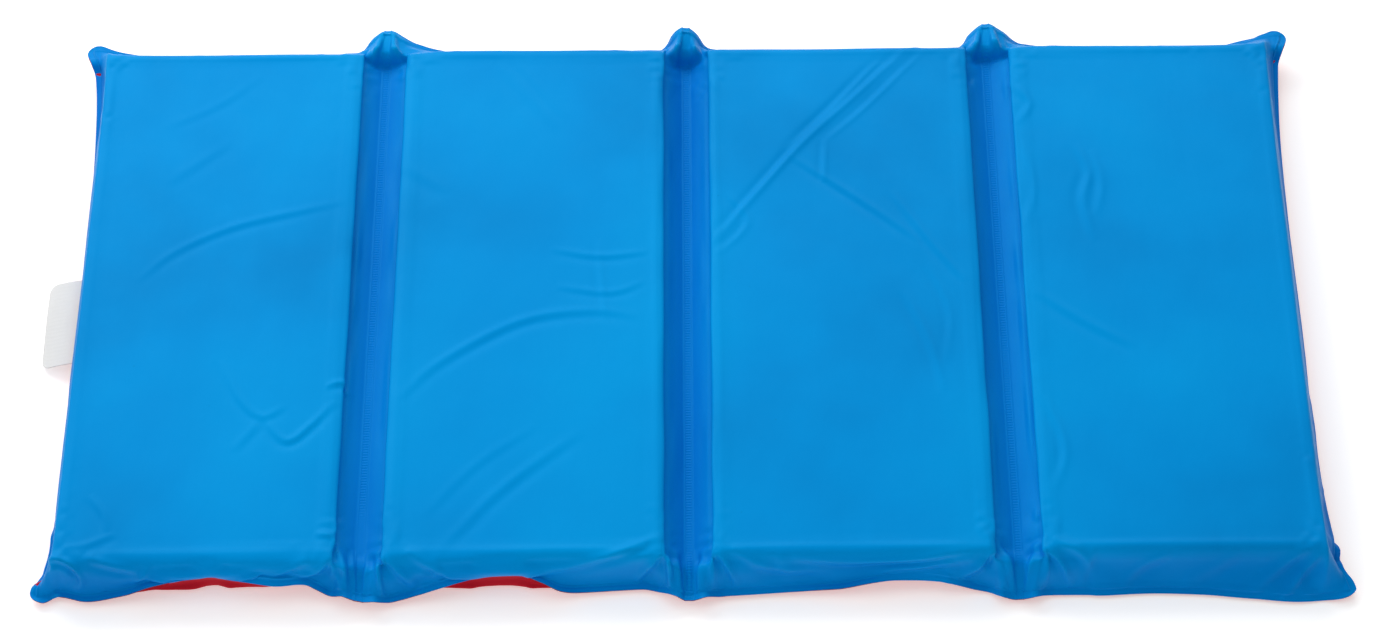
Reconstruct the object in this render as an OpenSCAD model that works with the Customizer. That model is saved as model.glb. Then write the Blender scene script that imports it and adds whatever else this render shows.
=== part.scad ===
// Four-panel folding floor mat. Two vinyl sheets are welded together round the edge and across
// three folds, and each of the four pockets between them holds a foam block.
// X runs along the mat, Y across it and Z up. The origin is under the centre of panel 1, on the
// floor. Each fold turns on two creases, one beside each of its panels.

/* [Mat] */
// Length over the four panels
mat_l = 1219; // [1100:1:1320]
// Width over a panel's top face
mat_w = 610; // [500:1:700]
// Thickness of a panel, cover included
mat_t = 48; // [40:1:60]
// Radius of the shoulder round a panel's top and bottom faces
shoulder_r = 5; // [2:0.5:8]

/* [Cover] */
// Thickness of one vinyl sheet
sheet_t = 0.5; // [0.3:0.1:0.8]
// How far the inner edge of the seam stands out from a panel's long side
side_seam_out = 10; // [7:1:14]
// How far the inner edge of the seam stands out from the mat's two ends
end_seam_out = 4; // [2:1:6]
// Width of the welded seam outside the cover
seam_w = 8; // [5:1:10]
// How far the seam's outer edge stands out beside the folds and at the corners
flat_out = 35; // [28:1:42]
// Radius of the seam's rounded corners
corner_r = 25; // [8:1:27]
// Clearance between a foam block and its cover
foam_gap = 0.2; // [0.1:0.1:0.5]

/* [Folds] */
// Clearance between the faces of two panels folded together
stack_gap = 1.5; // [1:0.5:4]
// Distance from a panel's side to the crease beside it
crease_out = 1; // [1:0.5:3]
// How far a fold lies from mid-height, toward the side it closes on
fold_shift = 2.5; // [0:0.5:4]
// Width of the weld along the middle of a fold
weld_w = 8; // [5:1:12]
// Depth of the weld's recess in each sheet
weld_depth = 0.1; // [0.05:0.05:0.2]

/* [Label] */
// Length of the label along the mat's end
label_l = 100; // [60:5:140]
// How far the label reaches from the end of panel 1
label_out = 40; // [30:1:42]
// How far the label's tip hangs below the seam
label_drop = 14; // [10:1:18]
// Place of the label's middle across the mat
label_y = -12; // [-150:1:150]
// Thickness of the label
label_t = 0.3; // [0.2:0.05:0.3]

/* [Hidden] */
$fn = 96;

panels = 4;
folds = panels - 1;
arc_steps = 6;
long_arc_fn = 720;
past = 1;

// Folded flat, a fold's strip stands upright and spans from one panel's crease height to the next.
strip_w = mat_t - 2 * fold_shift + stack_gap;
fold_w = strip_w + 2 * crease_out;
panel_l = (mat_l - folds * fold_w) / panels;
pitch = panel_l + fold_w;
mid_z = mat_t / 2;

// The seam's outer edge curves in beside each panel. At the ends it leaves room for the far end
// of the mat to fold round and lie in line with panel 1.
seam_half_w = mat_w / 2 + flat_out;
end_out = fold_w / 2 - 2;
side_dip = flat_out - side_seam_out - seam_w;
end_dip = max(0.5, end_out - end_seam_out - seam_w);

label_root = end_seam_out + 1;
label_run = label_out - end_seam_out - seam_w;
label_bend_r = (pow(label_run, 2) + pow(label_drop, 2)) / (2 * label_drop);
label_z = mid_z - label_t;

top_colour = [0, 0.5, 0.83];
bottom_colour = [0.8, 0.1, 0.16];
foam_colour = [0.93, 0.92, 0.86];
label_colour = [0.87, 0.87, 0.87];

function panel_x(i) = (i - 1) * pitch;

function fold_x(k) = panel_x(k) + pitch / 2;

// Folds 1 and 3 close the top faces on each other, and fold 2 closes the bottom faces.
function fold_z(k) = k == 2 ? mid_z - fold_shift : mid_z + fold_shift;

function arc_radius(chord, rise) = (pow(chord / 2, 2) + pow(rise, 2)) / (2 * rise);

// One side of a panel's upper half: round its shoulder, then down the slope to the seam
function side_points(half_l, slope, top_z, r) = concat(
    [for (i = [0 : arc_steps])
        let (a = 90 - i * 90 / arc_steps)
        [half_l - r + r * cos(a), top_z - r + r * sin(a)]],
    [[half_l + slope, 0]]
);

function mirrored(points) = [for (i = [len(points) - 1 : -1 : 0]) [-points[i][0], points[i][1]]];

// The upper half of a block whose sides slope out by slope_a at its -X end, slope_b at its +X end
// and slope_y along both sides. Its base is the seam's plane.
module half_block(length, width, height, r, slope_a, slope_b, slope_y) {
    intersection() {
        translate([0, width, 0])
            rotate([90, 0, 0])
                linear_extrude(2 * width)
                    polygon(concat(
                        side_points(length / 2, slope_b, height, r),
                        mirrored(side_points(length / 2, slope_a, height, r))
                    ));
        translate([-length, 0, 0])
            rotate([90, 0, 90])
                linear_extrude(2 * length)
                    polygon(concat(
                        side_points(width / 2, slope_y, height, r),
                        mirrored(side_points(width / 2, slope_y, height, r))
                    ));
    }
}

function slope_at(i, end_panel) = i == end_panel ? end_seam_out : 0;

module panel_block(i, inset) {
    half_block(
        panel_l - 2 * inset,
        mat_w - 2 * inset,
        mid_z - inset,
        shoulder_r - inset,
        slope_at(i, 1),
        slope_at(i, panels),
        side_seam_out
    );
}

module rounded_rectangle(length, width, r) {
    square([length - 2 * r, width], center = true);
    square([length, width - 2 * r], center = true);
    for (x = [-1, 1], y = [-1, 1])
        translate([x * (length / 2 - r), y * (width / 2 - r)])
            circle(r);
}

// The outline of the whole mat in the seam's plane, centred on the mat
module seam_outline() {
    side_r = arc_radius(panel_l, side_dip);
    end_chord = 2 * (seam_half_w - corner_r);
    end_r = arc_radius(end_chord, end_dip);
    difference() {
        rounded_rectangle(mat_l + 2 * end_out, 2 * seam_half_w, corner_r);
        for (i = [1 : panels], side = [-1, 1])
            translate([
                panel_x(i) - fold_x(2),
                side * (seam_half_w - side_dip + side_r)
            ])
                circle(side_r, $fn = long_arc_fn);
        for (end = [-1, 1])
            translate([end * (mat_l / 2 + end_out - end_dip + end_r), 0])
                circle(end_r, $fn = long_arc_fn);
    }
}

// Panel i's share of the seam, in the panel's own frame, with the pocket's opening cut out
module seam_shape(i) {
    reach_a = i == 1 ? panel_l : panel_l / 2;
    reach_b = i == panels ? panel_l : panel_l / 2;
    slope_a = slope_at(i, 1);
    slope_b = slope_at(i, panels);
    difference() {
        intersection() {
            translate([fold_x(2) - panel_x(i), 0])
                seam_outline();
            translate([-reach_a, -mat_w])
                square([reach_a + reach_b, 2 * mat_w]);
        }
        translate([sheet_t - panel_l / 2 - slope_a, sheet_t - mat_w / 2 - side_seam_out])
            square([
                panel_l + slope_a + slope_b - 2 * sheet_t,
                mat_w + 2 * side_seam_out - 2 * sheet_t
            ]);
    }
}

// One half of panel i's cover, standing on the seam's plane
module half_cover(i) {
    difference() {
        panel_block(i, 0);
        panel_block(i, sheet_t);
    }
    linear_extrude(sheet_t)
        seam_shape(i);
}

module top_sheet(i) {
    color(top_colour)
        translate([panel_x(i), 0, mid_z])
            half_cover(i);
}

module bottom_sheet(i) {
    color(bottom_colour)
        difference() {
            translate([panel_x(i), 0, mid_z])
                mirror([0, 0, 1])
                    half_cover(i);
            if (i == 1)
                label_slot();
        }
}

module foam_core(i) {
    inset = sheet_t + foam_gap;
    length = panel_l - 2 * inset;
    width = mat_w - 2 * inset;
    height = mid_z - inset;
    color(foam_colour)
        translate([panel_x(i), 0, mid_z]) {
            half_block(length, width, height, shoulder_r, 0, 0, 0);
            mirror([0, 0, 1])
                half_block(length, width, height, shoulder_r, 0, 0, 0);
        }
}

// The upper sheet across a fold. Its two edges are round about the creases.
module half_strip() {
    intersection() {
        union() {
            translate([-strip_w / 2, -seam_half_w, 0])
                cube([strip_w, 2 * seam_half_w, sheet_t]);
            for (edge = [-1, 1])
                translate([edge * strip_w / 2, 0, 0])
                    rotate([90, 0, 0])
                        cylinder(r = sheet_t, h = 2 * seam_half_w, center = true);
        }
        translate([-fold_w / 2, -seam_half_w, 0])
            cube([fold_w, 2 * seam_half_w, sheet_t]);
    }
}

// The weld's recess, along the outside of the upper sheet
module weld_recess() {
    translate([-weld_w / 2, -seam_half_w - past, sheet_t - weld_depth])
        cube([weld_w, 2 * (seam_half_w + past), sheet_t]);
}

module top_fold_strip(k) {
    color(top_colour)
        translate([fold_x(k), 0, fold_z(k)])
            difference() {
                half_strip();
                weld_recess();
            }
}

module bottom_fold_strip(k) {
    color(bottom_colour)
        translate([fold_x(k), 0, fold_z(k)])
            mirror([0, 0, 1])
                difference() {
                    half_strip();
                    weld_recess();
                }
}

// The room that the label's root takes in the lower half of the seam
module label_slot() {
    translate([-panel_l / 2 - label_out, label_y - label_l / 2, label_z])
        cube([label_out - label_root, label_l, label_t]);
}

// A flat root held in the seam, then a tail that hangs in a curve
module label() {
    tail_x = -panel_l / 2 - end_seam_out - seam_w;
    color(label_colour)
        translate([0, label_y + label_l / 2, 0])
            rotate([90, 0, 0])
                linear_extrude(label_l) {
                    translate([tail_x, label_z])
                        square([seam_w + end_seam_out - label_root, label_t]);
                    translate([tail_x, mid_z - label_bend_r])
                        intersection() {
                            difference() {
                                circle(label_bend_r);
                                circle(label_bend_r - label_t);
                            }
                            translate([-label_run, 0])
                                square([label_run, label_bend_r + past]);
                        }
                }
}

top_sheet(1);  // top_sheet_1
top_sheet(2);  // top_sheet_2
top_sheet(3);  // top_sheet_3
top_sheet(4);  // top_sheet_4
bottom_sheet(1);  // bottom_sheet_1
bottom_sheet(2);  // bottom_sheet_2
bottom_sheet(3);  // bottom_sheet_3
bottom_sheet(4);  // bottom_sheet_4
foam_core(1);  // foam_core_1
foam_core(2);  // foam_core_2
foam_core(3);  // foam_core_3
foam_core(4);  // foam_core_4
top_fold_strip(1);  // top_fold_strip_1
top_fold_strip(2);  // top_fold_strip_2
top_fold_strip(3);  // top_fold_strip_3
bottom_fold_strip(1);  // bottom_fold_strip_1
bottom_fold_strip(2);  // bottom_fold_strip_2
bottom_fold_strip(3);  // bottom_fold_strip_3
label();
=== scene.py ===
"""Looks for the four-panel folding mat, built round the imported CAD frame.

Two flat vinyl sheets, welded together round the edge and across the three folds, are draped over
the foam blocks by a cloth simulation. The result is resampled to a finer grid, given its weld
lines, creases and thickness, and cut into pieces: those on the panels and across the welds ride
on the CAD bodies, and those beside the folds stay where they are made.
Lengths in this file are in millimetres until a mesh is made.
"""
import math

import bmesh
import bpy
import numpy as np
from mathutils import Matrix, Vector


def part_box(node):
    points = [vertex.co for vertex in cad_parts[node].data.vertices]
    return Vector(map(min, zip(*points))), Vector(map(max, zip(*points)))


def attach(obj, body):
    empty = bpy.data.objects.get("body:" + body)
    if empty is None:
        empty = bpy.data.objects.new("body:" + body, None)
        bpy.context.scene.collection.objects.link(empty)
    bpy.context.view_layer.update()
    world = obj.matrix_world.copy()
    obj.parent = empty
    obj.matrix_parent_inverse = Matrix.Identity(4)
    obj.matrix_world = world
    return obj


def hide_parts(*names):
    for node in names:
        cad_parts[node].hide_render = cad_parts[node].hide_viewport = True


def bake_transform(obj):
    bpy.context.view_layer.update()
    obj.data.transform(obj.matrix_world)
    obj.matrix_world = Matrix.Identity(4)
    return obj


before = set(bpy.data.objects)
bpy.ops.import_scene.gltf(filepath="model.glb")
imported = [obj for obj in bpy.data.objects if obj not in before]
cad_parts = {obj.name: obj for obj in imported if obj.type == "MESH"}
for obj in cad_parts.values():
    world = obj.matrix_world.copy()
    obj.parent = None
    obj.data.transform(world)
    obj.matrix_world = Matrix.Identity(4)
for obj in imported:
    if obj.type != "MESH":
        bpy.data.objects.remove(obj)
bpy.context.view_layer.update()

MM = 0.001
PANELS = (1, 2, 3, 4)
FOLDS = (1, 2, 3)


# ---------------------------------------------------------------- sizes, from the CAD

def box_mm(node):
    low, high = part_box(node)
    return np.array(low) / MM, np.array(high) / MM


COVER_GAP = 0.7     # a foam block stops this far inside its cover
SHEET_T = 0.5
BLOCKS = {i: box_mm(f"foam_core_{i}") for i in PANELS}
RIMS = {i: (BLOCKS[i][0][0] - COVER_GAP, BLOCKS[i][1][0] + COVER_GAP) for i in PANELS}
HALF_W = BLOCKS[1][1][1] + COVER_GAP
TOP_Z = BLOCKS[1][1][2] + COVER_GAP
MID_Z = TOP_Z / 2
FOLD_X = {k: (RIMS[k][1] + RIMS[k + 1][0]) / 2 for k in FOLDS}
WEB_Z = {k: box_mm(f"bottom_fold_strip_{k}")[1][2] for k in FOLDS}   # where its two strips meet
PITCH = FOLD_X[2] - FOLD_X[1]

# ---------------------------------------------------------------- the flat sheets

WELD_W = 8.0        # the weld along a fold
SEAM_W = 8.0        # the flange outside the edge weld
SIDE_WALL = 27.0    # flat sheet between a panel's long edge and the edge weld
END_WALL = 25.0     # the same at the two ends
VALLEY = 26.0       # flat sheet between a panel and the weld beside it
PATTERN_R = 22.0    # rounding of the sheets' corners
CELL = 6.5          # spacing of the simulated grid
FACE_IN = 1.6       # the inner side of a sheet lies this far inside the CAD panel's face


def segments_along():
    """The strips that make up a sheet from left to right: kind, flat length, cells."""
    panel = RIMS[1][1] - RIMS[1][0]
    cells = round(panel / CELL)
    row = [("flange", SEAM_W, 2), ("wall", END_WALL, 4), ("panel", panel, cells)]
    for _ in FOLDS:
        row += [("valley", VALLEY, 5), ("weld", WELD_W, 1), ("valley", VALLEY, 5),
                ("panel", panel, cells)]
    return row + [("wall", END_WALL, 4), ("flange", SEAM_W, 2)]


def segments_across():
    return [("flange", SEAM_W, 2), ("wall", SIDE_WALL, 5),
            ("panel", 2 * HALF_W, round(2 * HALF_W / CELL)),
            ("wall", SIDE_WALL, 5), ("flange", SEAM_W, 2)]


def grid_lines(segments):
    """Flat coordinate of each grid line, and the lines where each segment ends."""
    lines, ends = [0.0], [0]
    for _, length, cells in segments:
        lines += list(lines[-1] + length * np.arange(1, cells + 1) / cells)
        ends.append(len(lines) - 1)
    return np.array(lines), ends


ALONG, ACROSS = segments_along(), segments_across()
U, U_ENDS = grid_lines(ALONG)
V, V_ENDS = grid_lines(ACROSS)
FLAT_Y = V - V[-1] / 2      # V measured from the sheet's middle
NEAR_WALL = (-HALF_W - FLAT_Y) / SIDE_WALL      # 0 at the near rim of the faces, 1 at the seam


def kinks(segments, ends):
    """The lines where the sheets meet at a weld, which is where they may turn sharply."""
    welds = [k for k, (kind, _, _) in enumerate(segments) if kind in ("weld", "flange")]
    return sorted({ends[0], ends[-1]} | {ends[k] for k in welds} | {ends[k + 1] for k in welds})


U_KINKS, V_KINKS = kinks(ALONG, U_ENDS), kinks(ACROSS, V_ENDS)


def ease(t):
    t = np.clip(t, 0, 1)
    return t * t * (3 - 2 * t)


def hermite(x, stations, column):
    """A smooth curve through stations (x, ...) without overshoot."""
    xs = np.array([s[0] for s in stations], float)
    ys = np.array([s[column] for s in stations], float)
    slope = np.diff(ys) / np.diff(xs)
    m = np.zeros(len(xs))
    same = slope[:-1] * slope[1:] > 0
    m[1:-1][same] = 2 * slope[:-1][same] * slope[1:][same] / (slope[:-1] + slope[1:])[same]
    k = np.clip(np.searchsorted(xs, x) - 1, 0, len(xs) - 2)
    h = xs[k + 1] - xs[k]
    t = np.clip((x - xs[k]) / h, 0, 1)
    return ((1 + 2 * t) * (1 - t) ** 2 * ys[k] + t * (1 - t) ** 2 * h * m[k]
            + t * t * (3 - 2 * t) * ys[k + 1] + t * t * (t - 1) * h * m[k + 1])


# How the edge weld runs beside the long sides: place along the mat in panels (1 is the middle of
# panel 1, 1.5 is fold 1), how far out from the foam it lies, and its height.
NEAR_SEAM = [
    (0.50, 18, 7), (0.59, 12, 9), (0.67, 16, 8), (0.78, 13, 13), (0.88, 11, 27), (0.96, 11, 36),
    (1.04, 10, 37), (1.14, 13, 34), (1.24, 14, 29), (1.34, 11, 25), (1.42, 16, 11), (1.50, 19, 8),
    (1.56, 22, 7), (1.63, 19, 9), (1.69, 16, 15), (1.81, 13, 28), (1.90, 11, 34), (1.99, 10, 35),
    (2.05, 11, 25), (2.11, 12, 12), (2.16, 10, 8), (2.35, 8, 8), (2.43, 14, 8), (2.50, 20, 6),
    (2.63, 16, 8), (2.94, 11, 10), (3.12, 10, 23), (3.27, 11, 21), (3.38, 17, 9), (3.48, 23, 5),
    (3.64, 21, 8), (3.85, 20, 9), (4.05, 22, 9), (4.20, 25, 8), (4.35, 28, 7), (4.50, 26, 7),
]
FAR_SEAM = [
    (0.50, 20, 26), (0.60, 15, 20), (0.75, 13, 14), (1.25, 13, 14), (1.40, 13, 15), (1.45, 21, 32),
    (1.50, 27, 38), (1.56, 23, 34), (1.66, 16, 22), (1.76, 13, 14), (2.25, 13, 14), (2.42, 13, 14),
    (2.46, 22, 31), (2.50, 26, 36), (2.53, 23, 31), (2.58, 13, 16), (2.75, 13, 14), (3.25, 13, 14),
    (3.40, 13, 15), (3.45, 21, 32), (3.50, 27, 38), (3.56, 22, 33), (3.62, 14, 18), (3.75, 13, 14),
    (4.25, 13, 16), (4.42, 18, 28), (4.50, 22, 30),
]
# Where the top sheet hangs out past the foam along the near side: place along, how far.
OVERHANG = [
    (0.50, 2), (0.62, 4), (0.75, 6), (0.95, 7), (1.35, 7), (1.43, 3), (1.50, 1), (1.60, 4),
    (1.75, 6), (1.95, 5), (2.10, 2), (2.35, 2), (2.50, 0), (2.70, 2), (3.10, 2), (3.50, 0),
    (3.70, 2), (4.30, 2), (4.50, 1),
]
# Where the bottom sheet bellies out past the foam, low on the near side: place along, how far.
UNDERHANG = [
    (0.50, 0), (0.62, 7), (0.72, 11), (0.86, 9), (1.02, 7), (1.18, 4), (1.32, 1), (1.40, 0),
    (1.62, 0), (1.76, 7), (1.92, 9), (2.10, 9), (2.28, 6), (2.42, 0), (2.50, 0), (4.50, 0),
]
# The same down the two ends: place across the mat from near (-1) to far (1), out, height.
LEFT_SEAM = [
    (-1.1, 22, 7), (-0.97, 10, 10), (-0.8, 4, 20), (0.0, 4, 24), (0.8, 5, 22), (0.95, 8, 22),
    (1.1, 22, 22),
]
RIGHT_SEAM = [
    (-1.1, 31, 7), (-1.0, 14, 9), (-0.94, 11, 22), (-0.6, 8, 22), (0.6, 8, 22), (0.95, 10, 24),
    (1.1, 23, 27),
]


def pucker(x, side):
    """Lifts the spare sheet at a fold's end: two bumps on the near side, one broad one behind."""
    lift = np.zeros_like(x)
    for k in FOLDS:
        place = np.clip(np.abs(x - FOLD_X[k]) / 30, 0, 1)
        lift += 7 * np.sin(np.pi * place) ** 2 if side < 0 else 5 * np.cos(np.pi * place / 2) ** 2
    return lift


def drops(segments, lines, ends):
    """How far down each grid line starts: 0 on the faces, 1 at the welds, between them on walls."""
    drop = np.zeros(len(lines))
    for k, (kind, _, _) in enumerate(segments):
        a, b = ends[k], ends[k + 1]
        if kind in ("weld", "flange"):
            drop[a:b + 1] = 1
        elif kind in ("valley", "wall"):
            t = (lines[a:b + 1] - lines[a]) / (lines[b] - lines[a])
            drop[a:b + 1] = t if segments[k - 1][0] == "panel" else 1 - t
    return drop


def start_shape(top):
    """The sheet's first form: already over the blocks, but without its folds and puckers."""
    real_x = [RIMS[1][0] - END_WALL - SEAM_W, RIMS[1][0] - END_WALL]
    for i in PANELS:
        real_x += list(RIMS[i])
        if i in FOLDS:
            real_x += [FOLD_X[i] - WELD_W / 2, FOLD_X[i] + WELD_W / 2]
    real_x += [RIMS[4][1] + END_WALL, RIMS[4][1] + END_WALL + SEAM_W]
    x = np.interp(U, U[U_ENDS], real_x)
    face = TOP_Z - FACE_IN if top else FACE_IN
    drop_x, drop_y = drops(ALONG, U, U_ENDS), drops(ACROSS, V, V_ENDS)
    floor_x = np.full(len(U), MID_Z)
    for k in FOLDS:
        floor_x[np.abs(x - FOLD_X[k]) < 30] = WEB_Z[k]

    along = 1 + x / PITCH
    seam = {side: (hermite(along, s, 1), hermite(along, s, 2))
            for side, s in ((-1, NEAR_SEAM), (1, FAR_SEAM))}
    points = np.zeros((len(U), len(V), 3))
    points[:, :, 0] = x[:, None]
    for j, flat in enumerate(FLAT_Y):
        side = -1 if flat < 0 else 1
        out, height = seam[side]
        beyond = np.clip(abs(flat) - HALF_W, 0, None)
        wall = min(beyond / SIDE_WALL, 1.0)
        points[:, j, 1] = side * (min(abs(flat), HALF_W) + out * wall + max(beyond - SIDE_WALL, 0))
        low = floor_x * (1 - wall) + height * wall
        points[:, j, 2] = low + (face - low) * (1 - drop_x) * (1 - drop_y[j])
        points[:, j, 2] += wall * pucker(x, side)

    # the ends: pull the flat margin in to the end weld's path
    across = points[0, :, 1] / HALF_W
    corner = ease((np.abs(FLAT_Y) - HALF_W + 15) / 40)
    for side, stations, rim in ((-1, LEFT_SEAM, RIMS[1][0]), (1, RIGHT_SEAM, RIMS[4][1])):
        out = hermite(across, stations, 1)[None, :]
        height = hermite(across, stations, 2)[None, :]
        beyond = np.clip(side * (points[:, :, 0] - rim), 0, None)
        wall = np.minimum(beyond / END_WALL, 1.0)
        shift = out * wall + np.clip(beyond - END_WALL, 0, None)
        points[:, :, 0] = np.where(beyond <= 0, points[:, :, 0], rim + side * shift)
        edge = wall * (1 - corner[None, :])
        target = height + (face - height) * (1 - wall)
        points[:, :, 2] = points[:, :, 2] * (1 - edge) + target * edge
    return points


def pattern():
    """The flat sheet's own coordinates."""
    u, v = np.meshgrid(U, FLAT_Y, indexing="ij")
    return np.stack([u, v, np.zeros_like(u)], -1)


def corner_lines(lines):
    """Where the arc starts at either end of the grid lines, and the lines that it takes in."""
    first = np.searchsorted(lines, PATTERN_R)
    last = np.searchsorted(lines, lines[-1] - PATTERN_R) - 1
    return (first, slice(0, first + 1)), (last, slice(last, len(lines)))


def round_corners(points, flat):
    """Draws the square corners of the grid in to an arc, in points as in the pattern."""
    half_u, half_v = U[-1] / 2, V[-1] / 2
    p = np.clip(np.abs(flat[:, :, 0] - half_u) - (half_u - PATTERN_R), 0, None) / PATTERN_R
    q = np.clip(np.abs(flat[:, :, 1]) - (half_v - PATTERN_R), 0, None) / PATTERN_R
    scale_p, scale_q = np.sqrt(1 - q * q / 2), np.sqrt(1 - p * p / 2)
    moved = points.copy()
    for i, us in corner_lines(U):
        for j, vs in corner_lines(V):
            start_x, start_y = points[i, vs, 0][None, :], points[us, j, 1][:, None]
            moved[us, vs, 0] = start_x + (points[us, vs, 0] - start_x) * scale_p[us, vs]
            moved[us, vs, 1] = start_y + (points[us, vs, 1] - start_y) * scale_q[us, vs]
    return moved


def new_object(name, mesh):
    obj = bpy.data.objects.new(name, mesh)
    bpy.context.scene.collection.objects.link(obj)
    return obj


BLOCK_R = 5.0       # the rounding of a foam block's edges


def rounded_block(name, i, inset):
    """A foam block, this far smaller all round than the CAD one."""
    low, high = (BLOCKS[i][0] + inset) * MM, (BLOCKS[i][1] - inset) * MM
    mesh = bpy.data.meshes.new(name)
    bm = bmesh.new()
    bmesh.ops.create_cube(bm, size=1.0)
    for v in bm.verts:
        v.co = Vector([(low[a] + high[a]) / 2 + v.co[a] * (high[a] - low[a]) for a in range(3)])
    bmesh.ops.bevel(bm, geom=bm.edges[:], offset=BLOCK_R * MM, segments=4, affect="EDGES", profile=0.5)
    bmesh.ops.triangulate(bm, faces=bm.faces[:])
    bm.to_mesh(mesh)
    bm.free()
    return new_object(name, mesh)


def flat_square(name, left, right, half_depth, z=0.0):
    """One level face, in metres."""
    mesh = bpy.data.meshes.new(name)
    corners = [(left, -half_depth), (right, -half_depth), (right, half_depth), (left, half_depth)]
    mesh.from_pydata([(*corner, z) for corner in corners], [], [(0, 1, 2, 3)])
    return new_object(name, mesh)


# ---------------------------------------------------------------- the cloth simulation

SIM_FRAMES = 24
TOP_RIM, BOTTOM_RIM = 30.0, 8.0     # the sheets are held on a face, except this near its rim
WELD_FREE = 12.0    # a weld is free this near the faces' rims
CORNER_FREE = 25.0  # the edge weld is free this near the mat's corners
FOLD_FREE = 45.0    # and this near a fold
SEAM_PULL = 0.12    # how hard the edge weld is drawn to its path
EAR_PULL = 0.5      # the same for the flange at the corners
FOLD_END_PULL = 0.3                 # and for the weld's ends at the folds
TAUT = 0.94         # a valley's sheet is cut this much shorter than its path, so it stays smooth
VALLEY_END = 31.0   # but at a fold's two ends the sheets are flat, and this much is spare
WELD_SHARE = 20.0   # within this of a fold's ends its weld isn't held, so the sheets share points
WALL_EASE = 1.01    # a wall is cut this much longer than its straight path
SLIP_FADE = 250.0   # over this much of a face the two sheets come back into step
CALM_LENGTH = 26.0  # ripples shorter than this along a face are evened out
FLANGE_CALM = 12.0  # the same for the flange
FLANGE_LOW = 1.2    # the flange's middle is at least this far above the floor
MIN_GAP = 1.2       # the top sheet stays this far above the bottom one where they aren't welded
SHOULDER = [(1, 2.4), (2, 2.6), (3, 1.8), (4, 0.2), (5, -2.0)]  # wall line, least inset from seam
FLOOR_SLAB = (-0.6, 1.6, 0.8, -0.0015)      # metres; low, because the cloth keeps off it
CLOTH = {
    "quality": 7, "mass": 0.1, "tension_stiffness": 90, "compression_stiffness": 90,
    "shear_stiffness": 35, "bending_stiffness": 0.6, "tension_damping": 12,
    "compression_damping": 12, "shear_damping": 8, "bending_damping": 2, "air_damping": 2,
    "vertex_group_mass": "hold", "pin_stiffness": 2,
}
COLLISIONS = {
    "use_collision": True, "distance_min": 0.001, "collision_quality": 3,
    "use_self_collision": False,
}


def pin_weights(top, start):
    """1 holds a point where it starts, 0 leaves it free, between the two it is drawn back."""
    weight = np.zeros(start.shape[:2])
    x, y = start[:, :, 0], start[:, :, 1]
    rim = TOP_RIM if top else BOTTOM_RIM
    for i in PANELS:
        inside = ((x > RIMS[i][0] + rim) & (x < RIMS[i][1] - rim) & (np.abs(y) < HALF_W - rim))
        weight[inside] = 1
    for k in FOLDS:
        weld = np.abs(x - FOLD_X[k]) < WELD_W / 2 + 0.1
        weight[weld & (np.abs(y) < HALF_W - WELD_FREE)] = 1
    for j in (V_ENDS[1], V_ENDS[-2]):
        edge = x[:, j]
        held = (edge > RIMS[1][0] + CORNER_FREE) & (edge < RIMS[4][1] - CORNER_FREE)
        for k in FOLDS:
            held &= np.abs(edge - FOLD_X[k]) > FOLD_FREE
        weight[held, j] = np.maximum(weight[held, j], SEAM_PULL)
        for k in FOLDS:
            weight[np.abs(edge - FOLD_X[k]) < WELD_W / 2 + 0.1, j] = FOLD_END_PULL
    for i in (U_ENDS[1], U_ENDS[-2]):
        away = np.abs(y[i]) < HALF_W - CORNER_FREE
        weight[i, away] = np.maximum(weight[i, away], SEAM_PULL)
    for rows in (slice(0, U_ENDS[1] + 1), slice(U_ENDS[-2], None)):
        for columns in (slice(0, V_ENDS[1] + 1), slice(V_ENDS[-2], None)):
            weight[rows, columns] = EAR_PULL
    return weight


def wall_path(out, height, side, level):
    """Flat length a wall needs from its panel's edge to the seam, for one sheet."""
    return WALL_EASE * np.hypot(out, level - height if side > 0 else height - FACE_IN)


def wall_levels(x):
    """Where the top sheet's walls start: at the face, and lower between two panels."""
    level = np.full(len(x), TOP_Z - FACE_IN)
    for k in FOLDS:
        near_fold = 1 - ease((np.abs(x - FOLD_X[k]) - 6) / 18)
        level += (WEB_Z[k] + 10 - level) * near_fold
    return level


def wall_paths(place, stations, level):
    """The lengths of the top and the bottom sheet's wall beside a seam."""
    out, height = hermite(place, stations, 1), hermite(place, stations, 2)
    return [wall_path(out, height, side, level) for side in (1, -1)]


def shifts(line, start, wall, paths, side, end):
    """How far each grid line moves out when a wall of flat length wall is cut to its path."""
    in_wall = np.clip(end * (line - start) / wall, 0, 1)[None, :]
    top_move = (paths[0] - wall)[:, None]
    if side > 0:
        return end * top_move * in_wall
    inside = np.clip(-end * (line - start) / SLIP_FADE, 0, 1)[None, :]
    edge = (paths[0] - paths[1])[:, None]
    return end * (top_move * in_wall + edge * (1 - in_wall) * (1 - inside))


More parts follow.
